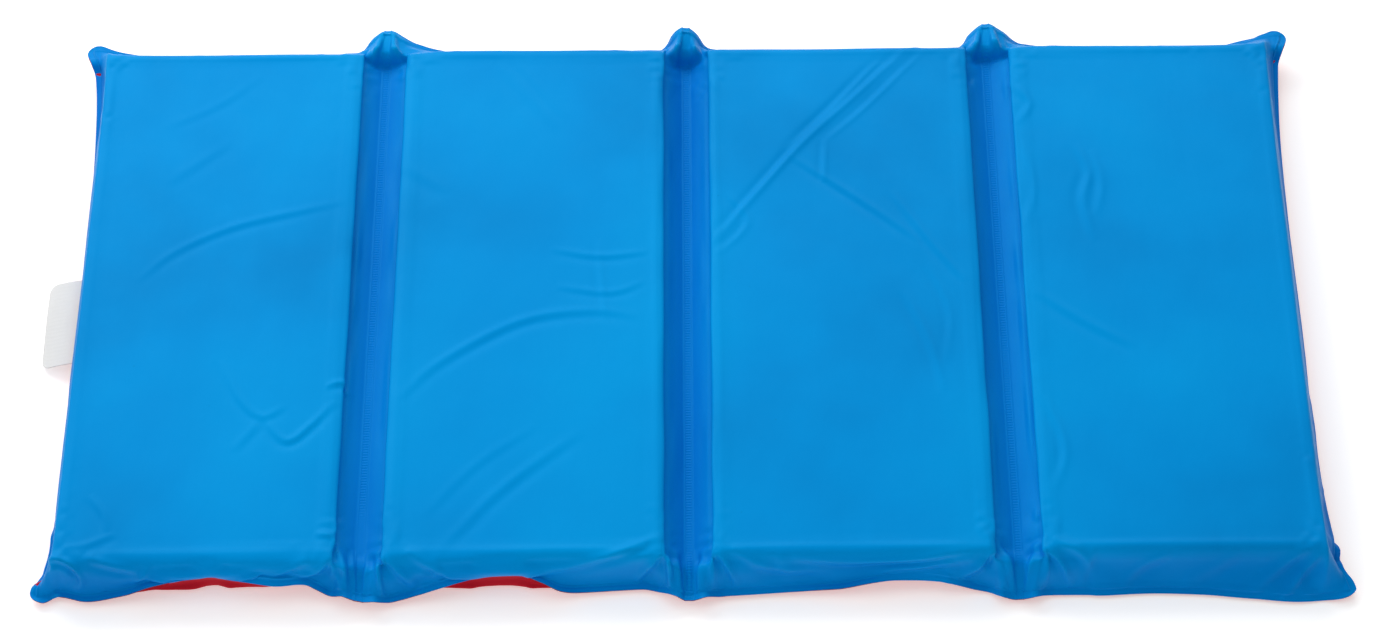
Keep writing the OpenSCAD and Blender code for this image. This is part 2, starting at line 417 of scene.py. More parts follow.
def tailored(flat, side, x, y):
    """The pattern with each wall as long as its path, and the depth of the folds' deeper side."""
    shape = flat.copy()
    along, across = 1 + x / PITCH, y / HALF_W
    level = wall_levels(x)
    for end, stations in ((-1, NEAR_SEAM), (1, FAR_SEAM)):
        paths = wall_paths(along, stations, level)
        shape[:, :, 1] += shifts(FLAT_Y, end * HALF_W, SIDE_WALL, paths, side, end)
    level = np.full(len(y), TOP_Z - FACE_IN)
    for end, stations, start in ((-1, LEFT_SEAM, U[U_ENDS[2]]), (1, RIGHT_SEAM, U[U_ENDS[-3]])):
        paths = wall_paths(across, stations, level)
        shape[:, :, 0] += shifts(U, start, END_WALL, paths, side, end).T
    fade = 1 - ease((np.abs(FLAT_Y) - (HALF_W - WELD_SHARE - 70)) / 65)
    for k in FOLDS:
        fall = (TOP_Z - WEB_Z[k] if side > 0 else WEB_Z[k]) - FACE_IN
        run = (RIMS[k + 1][0] - RIMS[k][1] - WELD_W) / 2
        taut = TAUT * math.hypot(run, fall)
        depth = (math.sqrt(max(taut * taut - VALLEY * VALLEY, 0)) * fade
                 + math.sqrt(VALLEY_END ** 2 - VALLEY ** 2) * (1 - fade))
        before = 4 * k - 1      # the valley before this fold's weld; the one after is two further on
        for valley in (before, before + 2):
            a, b = U_ENDS[valley], U_ENDS[valley + 1]
            t = (U[a:b + 1] - U[a]) / (U[b] - U[a])
            t = t if valley == before else 1 - t
            shape[a:b + 1, :, 2] = -depth[None, :] * t[:, None]
    return shape


# ---------------------------------------------------------------- trimming the draped sheets

def blur(lines, length):
    """Weights that average what lies along some lines over a length."""
    reach = np.exp(-((lines[:, None] - lines[None, :]) / length) ** 2)
    return reach / reach.sum(1, keepdims=True)


def calm_rims(sheet):
    """Evens out small ripples along the folds and the faces, away from the mat's sides."""
    even = np.einsum("jk,ikc->ijc", blur(FLAT_Y, CALM_LENGTH), sheet)
    keep = ease((np.abs(FLAT_Y) - (HALF_W - 75)) / 50)[None, :, None]
    inside = (U > U[U_ENDS[2]] + 40) & (U < U[U_ENDS[-3]] - 40)
    mixed = even * (1 - keep) + sheet * keep
    mixed[:, :, 1] = sheet[:, :, 1]
    sheet[inside] = mixed[inside]


def flatten_faces(sheet, face):
    """Draws the sheet down on to the foam, away from the edges of each panel."""
    for i in PANELS:
        x, y = sheet[:, :, 0], sheet[:, :, 1]
        inside = np.minimum(np.minimum(x - RIMS[i][0], RIMS[i][1] - x), HALF_W - np.abs(y))
        share = ease((inside - 4) / 16)
        sheet[:, :, 2] += (face - sheet[:, :, 2]) * share


def near_profile(rise, fall):
    """A share for each line of V: 0 inland, 1 over part of the near wall, and 0 from some line on."""
    profile = ease((NEAR_WALL + rise[0]) / rise[1]) * ease((fall[0] - NEAR_WALL) / fall[1])
    return np.where(FLAT_Y > 0, 0, profile)


def hang_over(sheet):
    """Lets the top sheet stand out over the near side, most over its own shoulder."""
    profile = near_profile((0.55, 0.75), (1, 0.75))
    reach = hermite(1 + sheet[:, 0, 0] / PITCH, OVERHANG, 1)
    sheet[:, :, 1] -= reach[:, None] * profile[None, :]
    sheet[:, :, 2] -= 0.25 * reach[:, None] * (profile * (NEAR_WALL > 0))[None, :]


def belly_out(sheet):
    """Lets the bottom sheet stand out under the near side, low down."""
    reach = hermite(1 + sheet[:, 0, 0] / PITCH, UNDERHANG, 1)
    sheet[:, :, 1] -= reach[:, None] * near_profile((0.5, 0.55), (0.95, 0.7))[None, :]


def puff_folds(sheet, top):
    """Swells the spare sheet on either side of each fold's near end."""
    rise = ease((NEAR_WALL + 0.25) / 0.6) * (1 - 0.65 * ease((NEAR_WALL - 0.7) / 0.3))
    reach = ease((NEAR_WALL - 0.2) / 0.6)
    rise[FLAT_Y > 0] = reach[FLAT_Y > 0] = 0
    if not top:
        rise = rise * ease((NEAR_WALL - 0.8) / 0.2)
    for k in FOLDS:
        d = np.abs(sheet[:, 0, 0] - FOLD_X[k])
        puff = np.sin(np.pi * np.clip((d - 1) / 27, 0, 1)) ** 2
        sheet[:, :, 2] += 5.0 * puff[:, None] * rise[None, :]
        sheet[:, :, 1] -= 2.5 * puff[:, None] * reach[None, :]


def unit(vectors):
    return vectors / np.maximum(np.linalg.norm(vectors, axis=-1, keepdims=True), 1e-9)


def neaten_flanges(top, bottom):
    """Lays the stiff double flange flat along the long sides, and lands the walls inside it."""
    x = top[:, 0, 0]
    inland = np.minimum(x - RIMS[1][0], RIMS[4][1] - x)
    share = ease((inland + 5) / 35)[:, None]
    reach = blur(x, FLANGE_CALM)
    for side, seam, step in ((-1, V_ENDS[1], -1), (1, V_ENDS[-2], 1)):
        run = reach @ unit(top[:, seam + 2 * step] - top[:, seam])
        direction = unit(run + np.array([0.0, side * 1.0, -0.25]))
        for n in (1, 2):
            line = seam + n * step
            place = top[:, seam] + direction * SEAM_W * n / 2
            place[:, 2] = np.maximum(place[:, 2], FLANGE_LOW)
            top[:, line] += (place - top[:, line]) * share
            bottom[:, line] = top[:, line]
        for n, inset in SHOULDER:
            line = seam - n * step
            over = side * (top[:, line, 1] - top[:, seam, 1]) + inset
            top[:, line, 1] -= side * np.maximum(over, 0)
            top[:, line, 2] = np.maximum(top[:, line, 2], top[:, seam, 2] + n)
        walls = seam - step * np.arange(1, len(SHOULDER) + 1)
        for sheet in (top, bottom):
            sheet[:, walls] = (sheet[:, walls] * 2 + sheet[:, walls + 1] + sheet[:, walls - 1]) / 4


def keep_apart(top, bottom, free):
    """Parts the two sheets where they have crossed between the welds."""
    for _ in range(3):
        normal = unit(np.cross(np.gradient(top, axis=0), np.gradient(top, axis=1)))
        gap = ((top - bottom) * normal).sum(-1)
        short = np.where(free & (gap < MIN_GAP), (MIN_GAP - gap) / 2, 0)[:, :, None]
        top += short * normal
        bottom -= short * normal


def trim(top, bottom, welded):
    """Neatens the two draped sheets in place."""
    for sheet, face in ((top, TOP_Z - FACE_IN), (bottom, FACE_IN)):
        calm_rims(sheet)
        flatten_faces(sheet, face)
    hang_over(top)
    belly_out(bottom)
    puff_folds(top, True)
    puff_folds(bottom, False)
    neaten_flanges(top, bottom)
    for k, (kind, _, _) in enumerate(ALONG):
        if kind == "weld":
            lines = slice(U_ENDS[k], U_ENDS[k + 1] + 1)
            welded[lines] = True
            top[lines] = bottom[lines] = (top[lines] + bottom[lines]) / 2
    keep_apart(top, bottom, ~welded)


# ---------------------------------------------------------------- draping

def shared_points():
    """Which points of the grid the two sheets have in common: the edge, and each weld's ends."""
    welded = np.zeros((len(U), len(V)), bool)
    outer_rows = np.abs(FLAT_Y) > HALF_W - WELD_SHARE
    for k, (kind, _, _) in enumerate(ALONG):
        if kind in ("flange", "weld"):
            rows = outer_rows if kind == "weld" else slice(None)
            welded[U_ENDS[k]:U_ENDS[k + 1] + 1, rows] = True
    welded[:, :V_ENDS[1] + 1] = True
    welded[:, V_ENDS[-2]:] = True
    return welded


def quads(index):
    """The four-cornered faces of a grid of numbered points."""
    corners = [index[:-1, :-1], index[1:, :-1], index[1:, 1:], index[:-1, 1:]]
    return np.stack(corners, -1).reshape(-1, 4)


def cloth_object(start, flat, weight, faces):
    """The sheets as one cloth: where it starts, its flat pattern and how hard it is held."""
    mesh = bpy.data.meshes.new("cover_drape")
    mesh.from_pydata((start * MM).tolist(), [], faces.tolist())
    obj = new_object("cover_drape", mesh)
    obj.shape_key_add(name="start")
    rest = obj.shape_key_add(name="pattern")
    rest.data.foreach_set("co", (flat * MM).astype(np.float32).ravel())
    rest.value = 0
    group = obj.vertex_groups.new(name="hold")
    for level in np.unique(weight):
        if level > 0:
            group.add(np.nonzero(weight == level)[0].tolist(), float(level), "REPLACE")
    cloth = obj.modifiers.new("drape", "CLOTH")
    for settings, values in ((cloth.settings, CLOTH), (cloth.collision_settings, COLLISIONS)):
        for name, value in values.items():
            setattr(settings, name, value)
    cloth.settings.rest_shape_key = rest
    cloth.settings.effector_weights.gravity = 0.8
    cloth.point_cache.frame_start, cloth.point_cache.frame_end = 1, SIM_FRAMES
    return obj


def simulate(obj):
    """Runs the cloth on the foam and the floor, and returns its points in millimetres."""
    colliders = [rounded_block(f"collider_{i}", i, 2.2) for i in PANELS]
    colliders.append(flat_square("collider_floor", *FLOOR_SLAB))
    for collider in colliders:
        collider.modifiers.new("solid", "COLLISION")
        collider.collision.thickness_outer = 0.0008
        collider.collision.cloth_friction = 5
    scene = bpy.context.scene
    scene.frame_start, scene.frame_end = 1, SIM_FRAMES
    for f in range(1, SIM_FRAMES + 1):
        scene.frame_set(f)
    result = obj.evaluated_get(bpy.context.evaluated_depsgraph_get()).to_mesh()
    co = np.zeros(len(result.vertices) * 3, np.float32)
    result.vertices.foreach_get("co", co)
    scene.frame_set(1)
    for used in [obj] + colliders:
        bpy.data.objects.remove(used)
    return co.reshape(-1, 3) / MM


def drape(top, bottom, flat):
    """Runs the cloth simulation on both sheets at once and returns them draped and trimmed."""
    index_top = np.arange(len(U) * len(V)).reshape(len(U), len(V))
    welded = shared_points()
    index_bottom = np.where(welded, index_top, index_top + index_top.size)
    points = np.concatenate([top.reshape(-1, 3), bottom.reshape(-1, 3)])
    line_x, line_y = top[:, len(V) // 2, 0], top[len(U) // 2, :, 1]
    patterns = [tailored(flat, side, line_x, line_y).reshape(-1, 3) for side in (1, -1)]
    weight = np.concatenate([pin_weights(True, top).ravel(), pin_weights(False, bottom).ravel()])

    single = (welded[:-1, :-1] & welded[1:, :-1] & welded[1:, 1:] & welded[:-1, 1:]).ravel()
    faces = np.concatenate([quads(index_top), quads(index_bottom)[~single][:, ::-1]])
    faces = faces[(weight[faces] < 0.99).any(1)]
    used = np.unique(faces)
    renumber = np.full(len(points), -1)
    renumber[used] = np.arange(len(used))
    cloth = cloth_object(points[used], np.concatenate(patterns)[used], weight[used], renumber[faces])
    points[used] = simulate(cloth)
    draped = [points[index.ravel()].reshape(top.shape) for index in (index_top, index_bottom)]
    trim(*draped, welded)
    return draped


# ---------------------------------------------------------------- resampling the draped sheets

def kinked_spline(values, at, new, kinks):
    """As spline(), but the values may turn sharply at the lines numbered in kinks."""
    new = np.clip(new, at[0], at[-1])
    result = np.zeros((len(new), *values.shape[1:]))
    for a, b in zip(kinks[:-1], kinks[1:]):
        inside = (new >= at[a]) & (new <= at[b])
        if inside.any():
            result[inside] = spline(values[a:b + 1], at[a:b + 1], new[inside])
    return result


def spline(values, at, new):
    """Values known at the coordinates at, along axis 0, read smoothly at new ones."""
    new = np.clip(new, at[0], at[-1])
    h = np.diff(at)
    steps = np.diff(values, axis=0) / h.reshape(-1, *[1] * (values.ndim - 1))
    slope = np.zeros_like(values)
    w = (h[1:] / (h[1:] + h[:-1])).reshape(-1, *[1] * (values.ndim - 1))
    slope[1:-1] = steps[:-1] * w + steps[1:] * (1 - w)
    slope[0], slope[-1] = steps[0], steps[-1]
    k = np.clip(np.searchsorted(at, new, side="right") - 1, 0, len(at) - 2)
    shape = (-1, *[1] * (values.ndim - 1))
    hk = h[k].reshape(shape)
    t = ((new - at[k]) / h[k]).reshape(shape)
    return ((1 + 2 * t) * (1 - t) ** 2 * values[k] + t * (1 - t) ** 2 * hk * slope[k]
            + t * t * (3 - 2 * t) * values[k + 1] + t * t * (t - 1) * hk * slope[k + 1])


def untangled(points, middle):
    """Evens out the points that overtake their neighbours in tight inner corners."""
    run = np.diff(middle, axis=1)
    for _ in range(4):
        ahead = (np.diff(points, axis=1) * run).sum(-1)
        back = ahead < 0.3 * (run * run).sum(-1)
        tangled = (back[:, 1:] | back[:, :-1])[:, :, None]
        even = (points[:, 2:] + points[:, :-2]) / 2
        points[:, 1:-1] += np.where(tangled, even - points[:, 1:-1], 0)
    return points


class Sheet:
    """A draped sheet that can be read at any flat coordinates."""

    def __init__(self, grid, side, relief):
        self.grid, self.side, self.relief = grid, side, relief

    def base(self, us, vs):
        rows = kinked_spline(self.grid, U, us, U_KINKS)
        return np.swapaxes(kinked_spline(np.swapaxes(rows, 0, 1), V, vs, V_KINKS), 0, 1)

    def normal_of(self, surface, us, vs, step):
        across_u = surface(us + step, vs) - surface(us - step, vs)
        across_v = surface(us, vs + step) - surface(us, vs - step)
        return self.side * unit(np.cross(across_u, across_v))

    def raised(self, us, vs):
        """The sheet's outer face."""
        lift = SHEET_T + self.relief(np.clip(us, 0, U[-1]), np.clip(vs, 0, V[-1]))
        return self.base(us, vs) + self.normal_of(self.base, us, vs, 1.0) * lift[:, :, None]

    def faces(self, us, vs):
        """Outer points, outer normals and inner points."""
        middle, plain = self.base(us, vs), self.normal_of(self.base, us, vs, 1.0)
        sunk = np.minimum(self.relief(us, vs) + SHEET_T - 0.1, 0) + 0.02
        inner = untangled(middle + plain * sunk[:, :, None], middle)
        normals = self.normal_of(self.raised, us, vs, 0.4)
        turned = (normals * plain).sum(-1) < 0.35
        normals = np.where(turned[:, :, None], plain, normals)
        return untangled(self.raised(us, vs), middle), normals, inner


# ---------------------------------------------------------------- creases and weld lines

def nearest_on(x, y, path):
    """Distance to a path of straight pieces, the side it lies on, and how far along is nearest."""
    path = np.array(path, float)
    lengths = np.linalg.norm(np.diff(path, axis=0), axis=1)
    starts = np.concatenate([[0], np.cumsum(lengths)])
    best = np.full(x.shape, 1e9)
    side, place = np.zeros(x.shape), np.zeros(x.shape)
    for k, length in enumerate(lengths):
        a, d = path[k], (path[k + 1] - path[k]) / length
        rx, ry = x - a[0], y - a[1]
        t = np.clip(rx * d[0] + ry * d[1], 0, length)
        dist = np.hypot(rx - t * d[0], ry - t * d[1])
        closer = dist < best
        best = np.where(closer, dist, best)
        side = np.where(closer, rx * d[1] - ry * d[0], side)
        place = np.where(closer, (starts[k] + t) / starts[-1], place)
    return best, side, place


def smooth_path(points, steps=10):
    """A rounded path through a few given points."""
    pts = np.array(points, float)
    at = np.arange(len(pts), dtype=float)
    return spline(pts, at, np.linspace(0, len(pts) - 1, steps * (len(pts) - 1) + 1))


def crease(x, y, points, height, width):
    """A soft fold in the vinyl: a raised lip with a hollow along its shaded side, fading out."""
    dist, side, place = nearest_on(x, y, smooth_path(points))
    fade = np.sin(np.pi * np.clip(place, 0, 1)) ** 0.7
    s = np.sign(side) * dist / width
    lip = np.exp(-s * s)
    hollow = -0.75 * np.exp(-((s - 1.5) / 1.15) ** 2)
    return height * fade * (lip + hollow)


# Folds in the top faces: panel, path in millimetres from the panel's middle, height, half width.
CREASES = [
    (1, [(-80, 15), (-45, 50), (10, 80), (80, 100), (127, 112)], 0.75, 4.5),
    (1, [(12, -80), (34, -125), (57, -145), (80, -133)], 0.8, 4),
    (1, [(57, -145), (82, -173), (105, -156), (128, -128)], 1.1, 4),
    (1, [(118, -112), (134, -107), (146, -116)], 1.3, 3.5),
    (1, [(-60, 135), (5, 190)], 0.35, 6),
    (1, [(-70, 205), (-10, 238), (30, 274)], 0.3, 5),
    (1, [(-125, -292), (-100, -288), (-75, -276)], 0.9, 4.5),
    (1, [(30, -185), (57, -147)], 0.5, 5),
    (1, [(-104, -232), (-88, -256), (-84, -274)], 0.8, 4),
    (2, [(-128, -128), (-87, -84), (-10, -37), (60, -25), (112, -32)], 1.0, 5),
    (2, [(20, 50), (70, 41), (122, 46)], 0.7, 4),
    (2, [(26, 5), (80, -3), (117, 10)], 0.6, 4),
    (2, [(68, 60), (77, -38)], 0.5, 4),
    (2, [(-82, -300), (-25, -232), (54, -165)], 0.8, 5.5),
    (2, [(-100, -262), (-48, -202), (10, -158)], 0.4, 5),
    (2, [(-38, 290), (28, 198)], 0.4, 7),
    (2, [(-22, 292), (34, 214)], 0.3, 5),
    (2, [(-136, 158), (-84, 122)], 0.5, 7),
    (3, [(76, 303), (12, 233), (-41, 176), (-94, 107), (-134, 56)], 1.5, 4.2),
    (3, [(46, 286), (-9, 220), (-57, 168)], 1.2, 3.8),
    (3, [(92, 298), (30, 226), (-18, 178)], 0.7, 3.5),
    (3, [(-55, 166), (19, 107), (79, 55)], 1.0, 4),
    (3, [(50, 118), (88, 55), (122, 6)], 0.9, 4),
    (3, [(-15, 184), (-17, 130)], 0.9, 3.5),
    (3, [(-118, 118), (-96, 80), (-130, 40)], 0.6, 4),
    (3, [(60, -5), (82, -65), (95, -124)], 0.8, 4.5),
    (3, [(84, 30), (104, -30), (98, -90)], 0.5, 4),
    (4, [(-74, 176), (-62, 140), (-70, 104), (-62, 52)], 1.0, 5),
    (4, [(-58, 168), (-50, 126), (-58, 84)], 0.7, 4.5),
    (4, [(-127, -6), (-79, -43), (-30, -74)], 0.8, 5),
    (4, [(-124, -130), (-108, -190), (-120, -236)], 0.8, 4.5),
    (4, [(-135, 255), (-118, 228), (-132, 200)], 0.9, 4.5),
    (4, [(-128, 180), (-120, 120), (-131, 70)], 0.6, 4),
    # puckers on the near walls and round the ends of the folds
    (1, [(-147, -303), (-128, -302), (-112, -310), (-108, -322), (-118, -331)], 3.5, 3.2),
    (1, [(-104, -300), (-80, -306), (-52, -312)], 2.4, 3.6),
    (1, [(-60, -330), (-48, -318), (-40, -306)], 1.9, 3.6),
    (1, [(100, -330), (118, -316), (134, -300)], 3.2, 4.3),
    (1, [(70, -328), (95, -312), (112, -302)], 1.9, 4.3),
    (2, [(-134, -300), (-118, -316), (-104, -330)], 3.0, 4.3),
    (2, [(-112, -296), (-86, -312), (-64, -326)], 2.2, 4.3),
    (2, [(20, -318), (62, -310), (100, -298), (132, -284)], 2.4, 4.3),
    (2, [(106, -332), (120, -318), (131, -302)], 3.0, 3.6),
    (3, [(-132, -300), (-120, -318), (-112, -332)], 3.2, 3.6),
    (3, [(-118, -298), (-92, -314), (-66, -320), (-20, -322)], 2.4, 4.3),
    (3, [(-60, -309), (-5, -314), (50, -313), (110, -304)], 2.7, 4.3),
    (3, [(20, -330), (70, -322), (118, -310)], 2.4, 4.3),
    (3, [(98, -334), (120, -318), (134, -300)], 3.0, 3.6),
    (4, [(-134, -298), (-120, -314), (-108, -332)], 3.2, 3.6),
    (4, [(-126, -292), (-100, -306), (-84, -330)], 2.4, 4.3),
    (4, [(-60, -331), (-40, -318), (-14, -307)], 1.6, 4.3),
    (4, [(0, -330), (30, -319), (52, -308)], 1.4, 5.0),
    (4, [(62, -333), (88, -320), (118, -303)], 2.7, 4.3),
    (4, [(92, -336), (112, -322), (132, -306)], 2.7, 3.6),
]

# Folds at the ends of the valleys: fold, path from the fold's middle on the flat sheet, height,
# half width.
FOLD_CREASES = [
    (1, [(-7, -286), (-6, -308), (-3, -340)], 2.0, 3),
    (1, [(6, -290), (7, -308), (4, -338)], 2.2, 3),
    (1, [(-27, -284), (-19, -300), (-13, -328)], 3.4, 4.5),
    (1, [(17, -290), (21, -310), (29, -336)], 3.0, 4),
    (1, [(28, -294), (36, -312), (40, -332)], 2.4, 4),
    (2, [(-13, -290), (-12, -310), (-10, -338)], 2.4, 3.2),
    (2, [(0, -288), (0, -310), (0, -338)], 1.6, 3),
    (2, [(14, -288), (12, -310), (10, -338)], 2.4, 3.2),
    (2, [(-27, -288), (-24, -308), (-22, -334)], 2.6, 4.5),
    (2, [(26, -290), (27, -310), (30, -334)], 2.6, 4.5),
    (3, [(-24, -284), (-13, -306), (-4, -338)], 3.0, 4),
    (3, [(20, -284), (13, -306), (5, -338)], 2.6, 4),
    (3, [(28, -288), (33, -310), (28, -334)], 2.8, 4.5),
    (1, [(-18, 292), (-10, 312), (-4, 338)], 2.2, 4.5),
    (1, [(20, 290), (13, 310), (6, 338)], 2.2, 4.5),
    (2, [(-14, 292), (-9, 312), (-5, 338)], 2.0, 4),
    (3, [(-20, 290), (-12, 310), (-5, 338)], 2.2, 4.5),
    (3, [(18, 292), (13, 312), (6, 338)], 2.2, 4.5),
]

SWELLS = np.random.default_rng(7).uniform(0, 1, (14, 4))


def swell(x, y, height):
    """The gentle unevenness of a loose sheet: a few long waves in fixed random directions."""
    total = np.zeros(x.shape)
    for turn, stretch, phase, strength in SWELLS:
        angle, length = np.pi * turn, 55 + 150 * stretch
        along = (x * math.cos(angle) + y * math.sin(angle)) / length
        total += (0.4 + strength) * np.sin(2 * np.pi * (along + phase))
    return height * total / len(SWELLS) ** 0.5


def edge_distance(us, vs):
    """How far outside the edge weld a place on the flat sheet lies."""
    u, v = np.meshgrid(us, vs, indexing="ij")
    return np.maximum(np.maximum(SEAM_W - u, u - (U[-1] - SEAM_W)),
                      np.maximum(SEAM_W - v, v - (V[-1] - SEAM_W)))


def bead(us, vs):
    """The raised line of the edge weld, with a shallow groove outside it and a lip at the cut."""
    d = edge_distance(us, vs)
    line = 1.3 * np.exp(-(d / 1.1) ** 2) - 0.35 * np.exp(-((d - 2.6) / 1.1) ** 2)
    lip = 0.25 * np.exp(-((d - SEAM_W + 0.4) / 0.8) ** 2)
    return line + lip


PANEL_FLAT = RIMS[1][1] - RIMS[1][0]
PANEL_STARTS, WELD_STARTS = ([U[U_ENDS[k]] for k, (kind, _, _) in enumerate(ALONG) if kind == wanted]
                             for wanted in ("panel", "weld"))
PANEL_MIDDLES = [start + PANEL_FLAT / 2 for start in PANEL_STARTS]
WELD_MIDDLES = [start + WELD_W / 2 for start in WELD_STARTS]
RUNG_PITCH = 3.0


def weld_lines(us, vs):
    """Across a fold: a line along each side of the weld and small rungs pressed in between."""
    relief = np.zeros((len(us), len(vs)))
    for middle in WELD_MIDDLES:
        d = np.abs(us - middle)[:, None]
        relief += 0.45 * np.exp(-((d - WELD_W / 2 + 0.4) / 0.7) ** 2)
        relief += 0.22 * np.cos(2 * np.pi * vs[None, :] / RUNG_PITCH) * (d < WELD_W / 2 - 1.6)
    return relief


def shallow_at_welds(relief, us, vs):
    """Where the sheets are welded there's no room for a hollow deeper than one sheet."""
    from_weld = np.min([np.abs(us - middle) for middle in WELD_MIDDLES], axis=0) - WELD_W / 2
    room = np.minimum(from_weld[:, None], -edge_distance(us, vs)) - 1
    return np.maximum(relief, -0.3 - 0.25 * np.clip(room, 0, None))


def top_relief(us, vs):
    u, v = np.meshgrid(us, vs - V[-1] / 2, indexing="ij")
    relief = bead(us, vs) + weld_lines(us, vs) + swell(u, v, 0.22)
    for table, middles, reach in ((CREASES, PANEL_MIDDLES, PANEL_FLAT / 2 + 20),
                                  (FOLD_CREASES, WELD_MIDDLES, VALLEY + WELD_W)):
        for number, points, height, width in table:
            middle = middles[number - 1]
            near = np.abs(us - middle) < reach
            relief[near] += crease(u[near] - middle, v[near], points, height, width)
    return shallow_at_welds(relief, us, vs)


def bottom_relief(us, vs):
    u, v = np.meshgrid(us, vs - V[-1] / 2, indexing="ij")
    relief = bead(us, vs) + weld_lines(us, vs) + 0.3 * np.abs(swell(u + 900, v, 0.5))
    return shallow_at_welds(relief, us, vs)


# ---------------------------------------------------------------- pieces

def stops(*runs):
    """Lines through runs of (length, spacing), measured from 0."""
    lines = [0.0]
    for length, spacing in runs:
        cells = max(1, round(length / spacing))
        lines += list(lines[-1] + length * np.arange(1, cells + 1) / cells)
    return np.array(lines)


RIM_KEEP = 8.0      # a panel's piece ends this far inside its edge, and the fold's pieces begin
FLANGE_RUN, RIM_RUN, VALLEY_RUN = (SEAM_W, 0.8), (RIM_KEEP, 1.6), (VALLEY, 1.8)
SIDE_RUN, END_RUN = (SIDE_WALL, 1.8), (END_WALL, 1.8)
FACE_STEP = 2.6
V_LINES = stops(FLANGE_RUN, SIDE_RUN, RIM_RUN, (2 * HALF_W - 2 * RIM_KEEP, FACE_STEP),
                RIM_RUN, SIDE_RUN, FLANGE_RUN)
V_WELD = stops((V[-1], RUNG_PITCH / 4))


def mesh_piece(name, points, faces, material):
    mesh = bpy.data.meshes.new(name)
    mesh.from_pydata((points * MM).tolist(), [], faces.tolist())
    mesh.polygons.foreach_set("use_smooth", [True] * len(mesh.polygons))
    mesh.materials.append(material)
    return new_object(name, mesh)


def closed_shell(name, outer, inner, turned, material):
    """A closed piece between two grids of points; turned tells which way round the grids run."""
    nu, nv = outer.shape[:2]
    index = np.arange(nu * nv).reshape(nu, nv)
    loop = np.concatenate([index[:, 0], index[-1, 1:], index[-2::-1, -1], index[0, -2:0:-1]])
    after = np.roll(loop, -1)
    rim = np.stack([loop + nu * nv, after + nu * nv, after, loop], -1)
    faces = np.concatenate([quads(index), quads(index)[:, ::-1] + nu * nv, rim])
    points = np.concatenate([outer.reshape(-1, 3), inner.reshape(-1, 3)])
    return mesh_piece(name, points, faces[:, ::-1] if turned else faces, material)


def vinyl_piece(name, sheet, us, vs, material):
    """A piece of one sheet, with its real thickness, and its depth below the faces, which sets
    how much shade is painted into its colour: more the lower it lies, half as much on the walls.
    """
    outer, normal, inner = sheet.faces(us, vs)
    piece = closed_shell(name, outer, inner, sheet.side < 0, material)
    normals = np.concatenate([normal.reshape(-1, 3), -normal.reshape(-1, 3)])
    piece.data.normals_split_custom_set_from_vertices(normals.tolist())
    depth = TOP_Z - outer[:, :, 2] if sheet.side > 0 else outer[:, :, 2]
    on_wall = 0.5 * ease((np.abs(outer[:, :, 1]) - HALF_W + 6) / 14)
    # painted shade: the lower a place lies below the faces the darker its colour is made, half as much on
    # the walls
    hollow = np.tile((ease(depth / MID_Z) * (1 - on_wall)).ravel(), 2).astype(np.float32)
    piece.data.attributes.new("hollow", "FLOAT", "POINT").data.foreach_set("value", hollow)
    return piece


def foam_piece(i, material):
    """A foam block, a little smaller than its cover, divided finely enough for its pores."""
    obj = rounded_block(f"foam_block_{i}", i, 2.0)
    modifier = obj.modifiers.new("finer", "SUBSURF")
    modifier.subdivision_type = "SIMPLE"
    modifier.levels = modifier.render_levels = 2
    obj.data.polygons.foreach_set("use_smooth", [True] * len(obj.data.polygons))
    obj.data.materials.append(material)
    return obj


LABEL_LENGTH, LABEL_REACH, LABEL_T = 100.0, 40.0, 0.4
LABEL_Y, LABEL_R = -12.0, 9.0       # its place across the mat, and its rounded corners
LABEL_ROOT, LABEL_FALL = 3.0, 11.0  # how far it is caught in the weld, and how low its end hangs
WEAVE_T = 0.05


def label_piece(seam_sheet, material):
    """A blank tape: its root lies in the edge weld and its tail sags towards the floor."""
    v_mid = np.array([V[-1] / 2 + LABEL_Y])
    root = seam_sheet.base(np.array([SEAM_W - LABEL_ROOT]), v_mid)[0, 0]
    edge = seam_sheet.base(np.array([0.0]), v_mid)[0, 0]
    tip_x = RIMS[1][0] - LABEL_REACH
    across = np.linspace(-1, 1, 90)
    grid = np.zeros((40, len(across), 3))
    for row, s in zip(grid, np.linspace(0, 1, len(grid))):
        x = root[0] + (tip_x - root[0]) * s
        fall = np.clip((edge[0] - x) / (edge[0] - tip_x), 0, 1)
        inset = max(LABEL_R - (x - tip_x), 0)
        short = LABEL_R - math.sqrt(max(LABEL_R ** 2 - inset ** 2, 0))
        out = min(1, (root[0] - x) / max(root[0] - edge[0], 1))
        row[:, 0] = x
        row[:, 1] = LABEL_Y + across * (LABEL_LENGTH / 2 - short)
        row[:, 2] = root[2] + (edge[2] - root[2]) * out - LABEL_FALL * fall ** 1.5
        row[:, 2] += 1.4 * fall * np.sin(2.3 * across + 0.6)
    normal = -unit(np.cross(np.gradient(grid, axis=0), np.gradient(grid, axis=1)))
    weave = WEAVE_T * np.sin(np.arange(len(across)) * math.pi / 2)[None, :, None]
    outer, inner = grid + normal * (LABEL_T / 2 + weave), grid - normal * LABEL_T / 2
    return closed_shell("end_label", outer, inner, True, material)


# ---------------------------------------------------------------- materials

